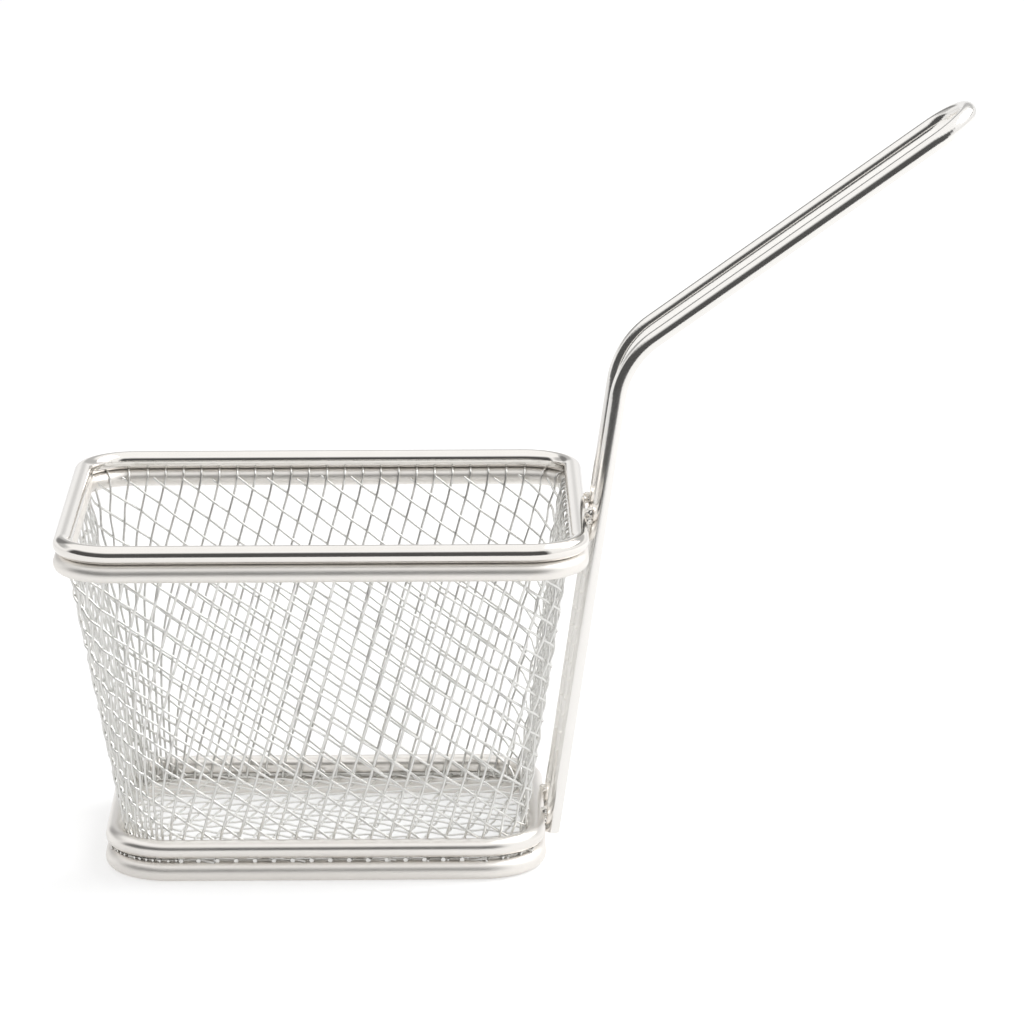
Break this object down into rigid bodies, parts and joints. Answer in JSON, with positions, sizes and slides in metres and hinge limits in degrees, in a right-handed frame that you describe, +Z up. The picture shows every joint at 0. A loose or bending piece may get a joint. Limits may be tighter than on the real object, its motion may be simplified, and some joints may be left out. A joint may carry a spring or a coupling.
{
  "type": "fry serving basket",
  "caption": "Small serving basket for fries: woven wire mesh tub with round wire rims and base rings, and one bent wire handle with an end loop.",
  "frame": {"origin": "on the table under the middle of the basket", "axes": "+X along the basket towards the handle, +Y across it, +Z up out of the mouth"},
  "size_m": [0.2174, 0.1, 0.1804],
  "materials": {
    "wire": "polished round steel wire",
    "handle_wire": "polished round steel wire with small weld beads",
    "mesh": "bright woven steel wire"
  },
  "bodies": {
    "root": {"rim_top_ring": "wire", "rim_lower_ring": "wire", "base_upper_ring": "wire", "base_lower_ring": "wire", "handle": "handle_wire", "front_mesh": "mesh", "back_mesh": "mesh", "left_mesh": "mesh", "right_mesh": "mesh", "front_left_corner_mesh": "mesh", "front_right_corner_mesh": "mesh", "back_left_corner_mesh": "mesh", "back_right_corner_mesh": "mesh", "floor_mesh": "mesh"}
  },
  "joints": []
}
